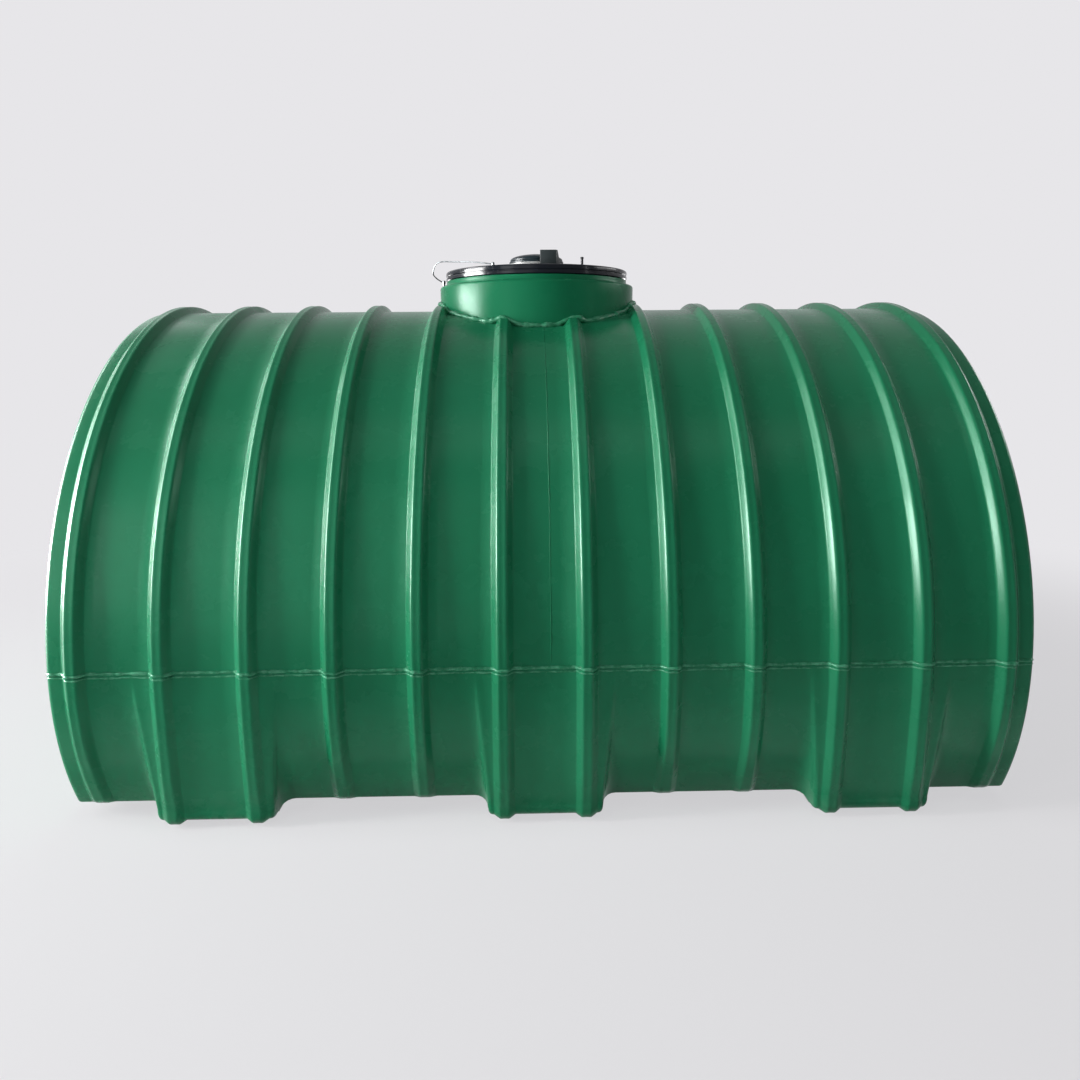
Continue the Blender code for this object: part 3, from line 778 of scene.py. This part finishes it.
def mouldingSkin():
    # the base skin without its ribs; each point keeps how far and which way a rib lifts it
    rings, reaches, spreads = [], [], []
    even = np.ones_like(turns)
    none = np.zeros_like(turns)
    outward = ringPoints(none, even) - np.array([0.0, 0.0, axisHeight])

    def addRing(x, radius, height, spread):
        rings.append(ringPoints(x, radius))
        reaches.append(outward * mirrored(height)[:, None])
        spreads.append(mirrored(spread))

    for x, radius, scale in endStations(-1)[::-1]:
        addRing(x, radius * scale, none, even)
    for station in fillBays(skinStations()):
        addRing(*station)
    for x, radius, scale in endStations(1):
        addRing(x, radius * scale, none, even)
    count = len(rings[0])
    mesh = bpy.data.meshes.new("moulding_skin")
    points = np.concatenate(rings)
    faces = []
    for ring in range(len(rings) - 1):
        for index in range(count):
            after = (index + 1) % count
            low, high = ring * count, (ring + 1) * count
            faces.append((low + index, high + index, high + after, low + after))
    mesh.from_pydata(points.tolist(), [], faces)
    reach = mesh.attributes.new("ribReach", "FLOAT_VECTOR", "POINT")
    reach.data.foreach_set("vector", np.concatenate(reaches).ravel())
    spread = mesh.attributes.new("ribSpread", "FLOAT", "POINT")
    spread.data.foreach_set("value", np.concatenate(spreads))
    item = addObject("moulding_skin", mesh)
    return item


def corrugationTree(values):
    # lifts the skin into a rib at every pitch along the barrel, and lets the wall waver a little
    tree, start, end = newTree("corrugation", values)
    nodes, links = tree.nodes, tree.links
    place = nodes.new("GeometryNodeInputPosition")
    split = nodes.new("ShaderNodeSeparateXYZ")
    links.new(place.outputs[0], split.inputs[0])
    along = addMath(tree, "SUBTRACT", split.outputs["X"], start.outputs["First Rib"])
    number = addMath(tree, "ROUND", addMath(tree, "DIVIDE", along, start.outputs["Rib Pitch"]))
    nearest = addMath(tree, "MULTIPLY", number, start.outputs["Rib Pitch"])
    away = addMath(tree, "ABSOLUTE", addMath(tree, "SUBTRACT", along, nearest))
    reach = nodes.new("GeometryNodeInputNamedAttribute")
    reach.data_type = "FLOAT_VECTOR"
    reach.inputs["Name"].default_value = "ribReach"
    spread = nodes.new("GeometryNodeInputNamedAttribute")
    spread.data_type = "FLOAT"
    spread.inputs["Name"].default_value = "ribSpread"
    half = addMath(tree, "MULTIPLY", start.outputs["Rib Half Width"], spread.outputs["Attribute"])
    share = addMath(tree, "DIVIDE", away, half)
    profile = nodes.new("ShaderNodeFloatCurve")
    curve = profile.mapping.curves[0]
    shape = moulding["ribShape"]
    curve.points[0].location = shape[0]
    curve.points[1].location = shape[-1]
    for point in shape[1:-1]:
        curve.points.new(*point)
    profile.mapping.update()
    links.new(share, profile.inputs["Value"])
    lift = addScale(tree, reach.outputs["Attribute"], profile.outputs["Value"])
    raised = nodes.new("GeometryNodeSetPosition")
    wave = addSeededNoise(tree, start, "Wave Size", 2.0)
    level = addMath(tree, "SUBTRACT", wave.outputs["Fac"], moulding["waveLevel"])
    amount = addMath(tree, "MULTIPLY", level, start.outputs["Waviness"])
    normal = nodes.new("GeometryNodeInputNormal")
    wavered = nodes.new("GeometryNodeSetPosition")
    linkChain(
        tree,
        start.outputs["Geometry"], raised.inputs["Geometry"],
        lift, raised.inputs["Offset"],
        raised.outputs[0], wavered.inputs["Geometry"],
        addScale(tree, normal.outputs[0], amount), wavered.inputs["Offset"],
    )
    closeTree(tree, start, end, wavered.outputs[0])
    return tree


def tidySkin(mesh):
    # closes the poles, turns the faces outward and keeps the runners flat on the floor
    bm = bmesh.new()
    bm.from_mesh(mesh)
    bmesh.ops.remove_doubles(bm, verts=bm.verts, dist=0.00001)
    bmesh.ops.recalc_face_normals(bm, faces=bm.faces)
    keepInside(bm)
    bm.to_mesh(mesh)
    bm.free()
    mesh.shade_smooth()
    for name in ("ribReach", "ribSpread"):
        mesh.attributes.remove(mesh.attributes[name])


def makeMoulding():
    values = {
        "First Rib": ribPlaces[0],
        "Rib Pitch": ribPitch,
        "Rib Half Width": moulding["ribHalf"],
        "Waviness": moulding["waviness"],
        "Wave Size": moulding["waveSize"],
        "Seed": moulding["seed"],
        "Finish": finishes["moulding"],
    }
    mesh = runTree(mouldingSkin(), corrugationTree(values), values, "tank_moulding")
    tidySkin(mesh)
    families = ("shell_", "rib_", "saddle_foot_", "end_wall_")
    nodes = [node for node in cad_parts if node.startswith(families)]
    return addPiece("tank_moulding", mesh, nodes)


tank = makeMoulding()
print("moulding has", len(tank.data.polygons), "faces")
skinPoints = [vert.co.copy() for vert in tank.data.vertices]
skinFaces = [tuple(face.vertices) for face in tank.data.polygons]
skinTree = BVHTree.FromPolygons(skinPoints, skinFaces)


def skinHeight(x, y):
    # the height of the moulding's top below a point above it
    found = skinTree.ray_cast(Vector((x, y, cadHigh.z + 1.0)), Vector((0.0, 0.0, -1.0)))
    return found[0].z


# Runs of weld and flash, which follow a path
flash = {
    "radius": 0.0034,
    "roughness": 0.0026,
    "grain": 70.0,
    "spacing": 0.0035,
    "seed": 3.0,
    "inset": 0.9990,
}
lowFlash = {
    "radius": 0.0020,
    "roughness": 0.0038,
    "grain": 45.0,
    "spacing": 0.0035,
    "seed": 4.0,
    "drop": 0.0085,
}
mouldLine = {
    "radius": 0.0010,
    "roughness": 0.0002,
    "grain": 60.0,
    "spacing": 0.008,
    "seed": 5.0,
    "x": 0.012,
    "inset": 0.9995,
    "neckRoom": 0.27,
}
bead = {
    "radius": 0.0070,
    "roughness": 0.0048,
    "grain": 44.0,
    "spacing": 0.0035,
    "seed": 11.0,
    "steps": 720,
    "smoothing": 9,
    "outShare": 0.05,
    "liftShare": 0.25,
}
weldSides = 8
weldSwell = (0.55, 1.45)
seamHeight = nodeCentre("seam_flash_front").z


def weldValues(sizes, finish):
    titles = ("Radius", "Roughness", "Grain", "Spacing", "Seed")
    values = {title: sizes[title.lower()] for title in titles}
    return {**values, "Sides": weldSides, "Finish": finishes[finish]}


def runOfWeldTree():
    # a rough round bead along a path: its centre wanders and its thickness varies
    tree, start, end = newTree("run_of_weld", weldValues(flash, "weld"))
    nodes = tree.nodes
    path = nodes.new("GeometryNodeMeshToCurve")
    even = nodes.new("GeometryNodeResampleCurve")
    even.mode = "LENGTH"
    noise = addSeededNoise(tree, start, "Grain", 3.0)
    centred = nodes.new("ShaderNodeVectorMath")
    centred.operation = "SUBTRACT"
    centred.inputs[1].default_value = (0.5, 0.5, 0.5)
    tree.links.new(noise.outputs["Color"], centred.inputs[0])
    swell = addRange(tree, noise.outputs["Fac"], 0.3, 0.7, *weldSwell, smooth=False)
    moved = nodes.new("GeometryNodeSetPosition")
    circle = nodes.new("GeometryNodeCurvePrimitiveCircle")
    tube = nodes.new("GeometryNodeCurveToMesh")
    linkChain(
        tree,
        start.outputs["Geometry"], path.inputs["Mesh"],
        path.outputs[0], even.inputs["Curve"],
        start.outputs["Spacing"], even.inputs["Length"],
        even.outputs[0], moved.inputs["Geometry"],
        addScale(tree, centred.outputs[0], start.outputs["Roughness"]), moved.inputs["Offset"],
        moved.outputs[0], tube.inputs["Curve"],
        start.outputs["Sides"], circle.inputs["Resolution"],
        start.outputs["Radius"], circle.inputs["Radius"],
        circle.outputs["Curve"], tube.inputs["Profile Curve"],
        swell, tube.inputs["Scale"],
    )
    closeTree(tree, start, end, tube.outputs[0])
    return tree


weldTree = runOfWeldTree()


def weldRun(name, points, closed, sizes, finish):
    # lays a run of weld through points and gives it as a mesh
    mesh = bpy.data.meshes.new(name + "_path")
    edges = [(index, index + 1) for index in range(len(points) - 1)]
    if closed:
        edges.append((len(points) - 1, 0))
    mesh.from_pydata([tuple(point) for point in points], edges, [])
    item = addObject(name + "_path", mesh)
    return runTree(item, weldTree, weldValues(sizes, finish), name)


def cutLine(planePoint, planeNormal):
    # the line in which a plane cuts the moulding, as a closed list of points
    bm = bmesh.new()
    bm.from_mesh(tank.data)
    geometry = bm.verts[:] + bm.edges[:] + bm.faces[:]
    cut = bmesh.ops.bisect_plane(
        bm, geom=geometry, dist=0.000001, plane_co=planePoint, plane_no=planeNormal
    )
    edges = [item for item in cut["geom_cut"] if isinstance(item, bmesh.types.BMEdge)]
    edge = min(edges, key=lambda item: tuple(item.verts[0].co))
    left, vert, points = set(edges), edge.verts[0], []
    while edge is not None:
        left.remove(edge)
        points.append(vert.co.copy())
        vert = edge.other_vert(vert)
        edge = next((other for other in vert.link_edges if other in left), None)
    bm.free()
    return points


def joinMeshes(name, meshes):
    bm = bmesh.new()
    for mesh in meshes:
        bm.from_mesh(mesh)
    keepInside(bm)
    joined = meshFrom(bm, name)
    joined.materials.append(meshes[0].materials[0])
    return joined


def makeFlash():
    # the ragged flash of the mould's parting line, all round the tank
    runs = []
    for sizes, height in ((flash, seamHeight), (lowFlash, seamHeight - lowFlash["drop"])):
        parting = cutLine((0.0, 0.0, height), (0.0, 0.0, 1.0))
        inward = [Vector((p.x * flash["inset"], p.y * flash["inset"], p.z)) for p in parting]
        runs.append(weldRun("parting", inward, True, sizes, "weld"))
    ring = joinMeshes("parting_flash", runs)
    addPiece("parting_flash", ring, ["seam_flash_front", "seam_flash_back"])


def makeMouldLine():
    # the faint upright line, on the front and the back from the parting line to the neck
    centre = Vector((mouldLine["x"], 0.0, axisHeight))
    upright = [p for p in cutLine(centre, (1.0, 0.0, 0.0)) if p.z > seamHeight]
    meshes = []
    for side in (-1, 1):
        run = [p for p in upright if p.y * side > mouldLine["neckRoom"]]
        run.sort(key=lambda p: math.atan2(p.z - axisHeight, abs(p.y)))
        sunk = [centre + (p - centre) * mouldLine["inset"] for p in run]
        meshes.append(weldRun("mould_line", sunk, False, mouldLine, "moulding"))
    line = addObject("mould_line", joinMeshes("mould_line", meshes))
    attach(line, "root")


makeFlash()
makeMouldLine()
print("parting flash is laid")


# Neck: collar, weld at its foot and the lip under the lid
neck = {
    "steps": 160,
    "edgeRadius": 0.007,
    "edgeSteps": 5,
    "wall": 0.010,
    "sink": 0.010,
    "flare": 0.0015,
    "lipOverlap": 0.006,
    "innerDrop": 0.012,
}
lip = {
    "wall": 0.010,
    "edgeRadius": 0.002,
    "footWidth": 0.0016,
    "footHeight": 0.0030,
    "straightFrom": 0.0080,
}
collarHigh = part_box("neck_collar")[1]
collarRadius = collarHigh.x
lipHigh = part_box("neck_lip")[1]


def makeCollar():
    # the collar stands on the moulding, so its foot follows the barrel and the ribs
    angles = fullTurn(neck["steps"])
    feet = [skinHeight(*onCircle(collarRadius, a)) - neck["sink"] for a in angles]
    inner, edge = collarRadius - neck["wall"], neck["edgeRadius"]
    bore, top = lipHigh.x - neck["lipOverlap"], collarHigh.z

    def ring(radius, heights):
        return [(*onCircle(radius, a), height) for a, height in zip(angles, heights)]

    rings = [ring(inner, feet), ring(collarRadius - neck["flare"], feet)]
    for share in (0.35, 0.7):
        level = [height + (top - edge - height) * share for height in feet]
        rings.append(ring(collarRadius - neck["flare"] * (1 - share), level))
    levels = arcPoints((collarRadius - edge, top - edge), edge, 0.0, 90.0, neck["edgeSteps"])
    under = top - neck["innerDrop"]
    levels += [(bore, top), (bore, under), (inner, under - 0.002)]
    rings += [ring(radius, [height] * len(angles)) for radius, height in levels]
    mesh = ringMesh("neck_collar_skin", rings, wrap=True)
    mesh.set_sharp_from_angle(angle=math.radians(40.0))
    addPiece("filling_neck", mesh, ["neck_collar"], "neck")


def makeLip():
    top, base, outer = lipHigh.z, collarHigh.z, lipHigh.x
    inner, edge = outer - lip["wall"], lip["edgeRadius"]
    profile = [
        (inner, base + 0.0002),
        (outer + lip["footWidth"], base + 0.0002),
        (outer + lip["footWidth"] / 4, base + lip["footHeight"]),
        (outer, base + lip["straightFrom"]),
        (outer, top - edge),
    ]
    profile += arcPoints((outer - edge, top - edge), edge, 0.0, 90.0, 3)
    profile.append((inner, top))
    mesh = turnedMesh("neck_lip_ring", profile, wrap=True)
    addPiece("sealing_lip", mesh, ["neck_lip"], "neck")


def makeBead():
    # the weld at the collar's foot, which climbs over the ribs that end there
    ringRadius = collarRadius + bead["radius"] * bead["outShare"]
    circle = [onCircle(ringRadius, angle) for angle in fullTurn(bead["steps"])]
    heights = np.array([skinHeight(x, y) for x, y in circle])
    window = range(-bead["smoothing"], bead["smoothing"] + 1)
    smoothed = sum(np.roll(heights, shift) for shift in window) / len(window)
    lift = bead["radius"] * bead["liftShare"]
    points = [Vector((x, y, z + lift)) for (x, y), z in zip(circle, smoothed)]
    mesh = weldRun("neck_weld", points, True, bead, "weld")
    addPiece("neck_weld", mesh, ["neck_bead"])


makeCollar()
makeLip()
makeBead()
print("neck is made")


# Lid with its vent, tab and pin
lidSizes = {
    "baseGap": 0.0003,
    "rimHeight": 0.0245,
    "crownRadius": 0.100,
    "shoulderRadius": 0.0045,
    "shoulderSteps": 6,
    "ringInset": 0.020,
    "ringHalf": 0.004,
    "ringDepth": 0.0016,
    "grooveDrop": 0.0125,
    "grooveDepth": 0.0022,
    "grooveHeight": 0.0020,
    "wall": 0.010,
    "skirtInset": 0.022,
    "skirtDepth": 0.022,
}
ventSizes = {
    "edgeRadius": 0.002,
    "gasketHeight": 0.0105,
    "gasketStep": 0.001,
    "domeSteps": 12,
    "domeSkirt": 0.003,
    "domeRim": 0.006,
}
pinSizes = {"edgeRadius": 0.0012, "stem": 0.0034, "headHeight": 0.005, "topGap": 0.002}
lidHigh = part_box("lid")[1]
lidRadius = lidHigh.x
lidBase = lipHigh.z + lidSizes["baseGap"]
lidRimTop = lidBase + lidSizes["rimHeight"]
lidCrownTop = lidHigh.z


def crownHeight(radius):
    crown = lidSizes["crownRadius"]
    rim = lidRadius - lidSizes["shoulderRadius"]
    share = min(max((radius - crown) / (rim - crown), 0.0), 1.0)
    return lidCrownTop + (lidRimTop - lidCrownTop) * share


def makeLid():
    crown, shoulder = lidSizes["crownRadius"], lidSizes["shoulderRadius"]
    rim = lidRadius - shoulder
    ringPlace, half = rim - lidSizes["ringInset"], lidSizes["ringHalf"]
    grooveTop = lidRimTop - lidSizes["grooveDrop"]
    grooveLow = grooveTop - lidSizes["grooveHeight"]
    deep, inner = lidRadius - lidSizes["grooveDepth"], lidRadius - lidSizes["skirtInset"]
    skirtLow = lidBase - lidSizes["skirtDepth"]
    profile = [(crown * share, lidCrownTop) for share in (0.0, 0.3, 0.6, 0.9)]
    profile += [(radius, crownHeight(radius)) for radius in (crown + half, ringPlace - half)]
    profile.append((ringPlace, crownHeight(ringPlace) - lidSizes["ringDepth"]))
    profile.append((ringPlace + half, crownHeight(ringPlace + half)))
    arcCentre = (rim, lidRimTop - shoulder)
    profile += arcPoints(arcCentre, shoulder, 90.0, 0.0, lidSizes["shoulderSteps"])
    profile += [
        (lidRadius, grooveTop + 0.001),
        (lidRadius - 0.0006, grooveTop),
        (deep, grooveTop - 0.0004),
        (deep, grooveLow),
        (lidRadius - 0.0010, grooveLow - 0.0006),
        (lidRadius - 0.0004, grooveLow - 0.0016),
        (lidRadius - 0.0004, lidBase + 0.002),
        (lidRadius - 0.0022, lidBase),
        (lidRadius - 0.014, lidBase),
        (lidRadius - 0.0145, skirtLow),
        (inner, skirtLow),
        (inner, lidRimTop - lidSizes["wall"]),
        (crown, lidCrownTop - lidSizes["wall"]),
        (0.0, lidCrownTop - lidSizes["wall"]),
    ]
    mesh = turnedMesh("lid_turned", profile, steps=192, sharp=28.0)
    addPiece("screw_lid", mesh, ["lid"], "lid")


def makeVent():
    low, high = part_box("vent_base")
    radius, base, top, edge = high.x, low.z, high.z, ventSizes["edgeRadius"]
    gasketTop, gasketStep = base + ventSizes["gasketHeight"], ventSizes["gasketStep"]
    gasketRadius = radius - gasketStep
    profile = [(0.0, top), (radius - edge, top)]
    profile += arcPoints((radius - edge, top - edge), edge, 90.0, 0.0, 3)
    profile += [(radius, gasketTop + gasketStep), (gasketRadius, gasketTop)]
    profile += [(gasketRadius, base), (0.0, base)]
    mesh = turnedMesh("vent_base_turned", profile, steps=96)
    mesh.materials.append(finishes["vent"])
    mesh.materials.append(finishes["ventBase"])
    for face in mesh.polygons:
        if face.center.z < gasketTop:
            face.material_index = 1
    addPiece("vent_seat", mesh, ["vent_base"])
    low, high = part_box("vent_cap")
    radius, base, top = high.x, low.z, high.z
    profile = [(0.0, top)]
    shoulder, inner = base + ventSizes["domeSkirt"], radius - ventSizes["domeRim"]
    for step in range(1, ventSizes["domeSteps"] + 1):
        angle = math.pi / 2 * step / ventSizes["domeSteps"]
        height = shoulder + (top - shoulder) * math.cos(angle)
        profile.append((radius * math.sin(angle), height))
    profile += [(radius, base + 0.0008), (radius - 0.0008, base), (inner, base)]
    profile += [(inner, base + 0.001), (0.0, base + 0.001)]
    mesh = turnedMesh("vent_cap_turned", profile, steps=96)
    addPiece("vent_dome", mesh, ["vent_cap"], "vent")


def roundedCopy(node, name, width, segments, finish):
    # a CAD node's own shape with its doubles merged and its edges rounded
    bm = bmesh.new()
    bm.from_mesh(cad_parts[node].data)
    bmesh.ops.remove_doubles(bm, verts=bm.verts, dist=0.00001)
    bmesh.ops.dissolve_limit(bm, angle_limit=math.radians(2.0), verts=bm.verts, edges=bm.edges)
    folds = [edge for edge in bm.edges if len(edge.link_faces) == 2]
    sharp = [edge for edge in folds if edge.calc_face_angle() > math.radians(25.0)]
    bmesh.ops.bevel(bm, geom=sharp, offset=width, segments=segments, affect="EDGES", profile=0.5)
    bmesh.ops.recalc_face_normals(bm, faces=bm.faces)
    mesh = meshFrom(bm, name)
    mesh.set_sharp_from_angle(angle=math.radians(35.0))
    addPiece(name, mesh, [node], finish)


def makePin():
    low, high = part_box("lid_pin")
    centre = (low + high) / 2
    head = (high.x - low.x) / 2
    stem, edge = pinSizes["stem"], pinSizes["edgeRadius"]
    top = high.z - pinSizes["topGap"]
    under = top - pinSizes["headHeight"]
    profile = [(0.0, top)]
    profile += arcPoints((head - edge, top - edge), edge, 90.0, 0.0, 3)
    profile += [(head, under + edge / 2), (head - edge / 2, under), (stem, under)]
    profile += [(stem, low.z + 0.002), (stem + edge, low.z), (0.0, low.z)]
    mesh = turnedMesh("lid_pin_turned", profile, (centre.x, centre.y), steps=40)
    addPiece("lid_peg", mesh, ["lid_pin"], "lid")


makeLid()
makeVent()
roundedCopy("handle_tab", "lifting_tab", 0.0008, 2, "tab")
makePin()
print("lid is made")


# Tether wire between the neck and the lid, held at both ends
tether = {
    "radius": 0.0016,
    "sides": 10,
    "smoothing": 8,
    "points": (
        (-0.016, -0.004, 0.010),
        (-0.025, -0.012, 0.025),
        (-0.010, -0.026, 0.051),
        (0.042, -0.050, 0.050),
        (0.091, -0.078, 0.046),
    ),
    "headBelow": 0.0045,
}
studSizes = {"edgeRadius": 0.0018, "headHeight": 0.008, "waist": 0.72}


def smoothRoute(route, steps):
    padded = [route[0], *route, route[-1]]
    points = []
    for index in range(len(route) - 1):
        before, start, end, after = padded[index:index + 4]
        for step in range(steps):
            t = step / steps
            even = 2 * start + (end - before) * t
            bend = (2 * before - 5 * start + 4 * end - after) * t ** 2
            cube = (3 * start - before - 3 * end + after) * t ** 3
            points.append((even + bend + cube) / 2)
    points.append(route[-1])
    return points


def tubeMesh(name, points, radius, sides):
    # a round tube along points, closed at both ends
    rings = []
    side = Vector((0.0, 0.0, 1.0))
    for index, point in enumerate(points):
        ahead = points[min(index + 1, len(points) - 1)] - points[max(index - 1, 0)]
        ahead.normalize()
        side = (side - ahead * side.dot(ahead)).normalized()
        across = ahead.cross(side)
        ring = [side * math.cos(angle) + across * math.sin(angle) for angle in fullTurn(sides)]
        rings.append([point + away * radius for away in ring])
    rings.insert(0, [points[0]] * sides)
    rings.append([points[-1]] * sides)
    return ringMesh(name, rings)


def makeStud(node, name):
    low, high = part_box(node)
    centre, radius = (low + high) / 2, (high.x - low.x) / 2
    edge, waist = studSizes["edgeRadius"], radius * studSizes["waist"]
    headLow = high.z - studSizes["headHeight"]
    profile = [(0.0, high.z)]
    profile += arcPoints((radius - edge, high.z - edge), edge, 90.0, 0.0, 4)
    profile += [(radius, headLow), (waist, headLow - 0.0005), (waist, low.z + 0.002)]
    profile += [(radius, low.z + edge), (radius, low.z), (0.0, low.z)]
    mesh = turnedMesh(name, profile, (centre.x, centre.y), steps=32)
    addPiece(name, mesh, [node], "steel")
    return centre, radius, high.z


def makeTether():
    neckStud, studRadius, neckTop = makeStud("tether_eye_neck", "neck_stud")
    lidStud, _, lidTop = makeStud("tether_eye_lid", "lid_stud")
    away = studRadius - tether["radius"] / 2
    start = Vector((neckStud.x - away, neckStud.y, neckTop - tether["headBelow"]))
    end = Vector((lidStud.x - away, lidStud.y, lidTop - tether["headBelow"]))
    route = [start, *(start + Vector(point) for point in tether["points"]), end]
    points = smoothRoute(route, tether["smoothing"])
    mesh = tubeMesh("tether_tube", points, tether["radius"], tether["sides"])
    addPiece("lid_tether", mesh, ["tether_wire"], "steel")


makeTether()
print("tether is made")
